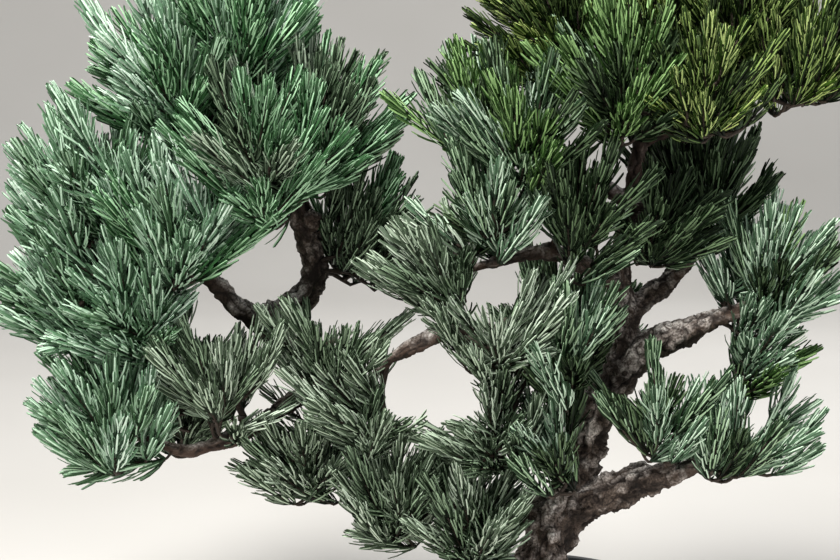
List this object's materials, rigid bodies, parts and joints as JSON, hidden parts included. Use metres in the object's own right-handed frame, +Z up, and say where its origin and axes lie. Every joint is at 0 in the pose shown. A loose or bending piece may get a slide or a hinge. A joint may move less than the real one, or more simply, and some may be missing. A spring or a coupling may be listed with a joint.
{
  "type": "potted juniper bonsai",
  "caption": "Juniper bonsai in a round dark pot: flared leaning trunk, spreading boughs and open masses of blue-green needles.",
  "frame": {"origin": "middle of the pot's flat underside", "axes": "+Z up along the pot's axis; +X to the right of the front view, along the crown's longest spread; +Y away from the front"},
  "size_m": [0.4576, 0.2006, 0.4314],
  "materials": {
    "pot_ceramic": "matt dark slate grey stoneware with a faint grain",
    "gravel_soil": "rough tan, brown and grey grit of 4 to 6 mm over soil",
    "bark": "rough flaking grey-brown bark with dark red-brown cracks",
    "glaucous_needles": "pale blue-green needles with a waxy bloom",
    "grey_green_needles": "grey-green needles with a pale line along each",
    "deep_green_needles": "dark green needles with a pale line along each",
    "fresh_green_needles": "fresh yellow-green needles of the upper right crown"
  },
  "bodies": {
    "root": {"pot": "pot_ceramic", "soil": "gravel_soil", "trunk": "bark", "left_limb": "bark", "left_limb_rise": "bark", "left_leader": "bark", "left_arm": "bark", "left_low_bough": "bark", "middle_left_bough": "bark", "upper_left_bough": "bark", "top_left_bough": "bark", "low_right_bough": "bark", "middle_right_bough": "bark", "upper_right_bough": "bark", "top_right_bough": "bark", "back_low_bough": "bark", "back_top_bough": "bark", "left_back_bough": "bark", "crown_top_foliage": "fresh_green_needles", "crown_front_foliage": "deep_green_needles", "crown_back_foliage": "deep_green_needles", "top_left_high_foliage": "fresh_green_needles", "top_left_tip_foliage": "deep_green_needles", "top_left_inner_foliage": "deep_green_needles", "top_left_low_foliage": "deep_green_needles", "upper_left_high_foliage": "deep_green_needles", "upper_left_tip_foliage": "grey_green_needles", "top_right_inner_foliage": "fresh_green_needles", "top_right_high_foliage": "fresh_green_needles", "top_right_tip_foliage": "fresh_green_needles", "upper_right_tip_foliage": "deep_green_needles", "upper_right_front_foliage": "deep_green_needles", "middle_right_tip_foliage": "deep_green_needles", "middle_right_low_foliage": "deep_green_needles", "low_right_inner_foliage": "deep_green_needles", "low_right_tip_foliage": "deep_green_needles", "middle_back_foliage": "deep_green_needles", "middle_front_foliage": "deep_green_needles", "middle_left_inner_foliage": "grey_green_needles", "middle_left_under_foliage": "grey_green_needles", "middle_low_foliage": "deep_green_needles", "foot_left_foliage": "grey_green_needles", "left_limb_front_foliage": "grey_green_needles", "left_limb_upper_foliage": "grey_green_needles", "left_limb_low_foliage": "grey_green_needles", "left_fork_front_foliage": "grey_green_needles", "left_low_inner_foliage": "grey_green_needles", "left_low_tip_foliage": "glaucous_needles", "left_low_back_foliage": "grey_green_needles", "left_arm_low_foliage": "glaucous_needles", "left_arm_far_foliage": "glaucous_needles", "left_arm_inner_foliage": "glaucous_needles", "left_arm_tip_foliage": "glaucous_needles", "left_arm_back_foliage": "grey_green_needles", "leader_left_foliage": "glaucous_needles", "leader_top_foliage": "glaucous_needles", "leader_front_foliage": "grey_green_needles", "leader_right_foliage": "grey_green_needles", "leader_low_foliage": "grey_green_needles", "leader_back_foliage": "grey_green_needles"}
  },
  "joints": []
}
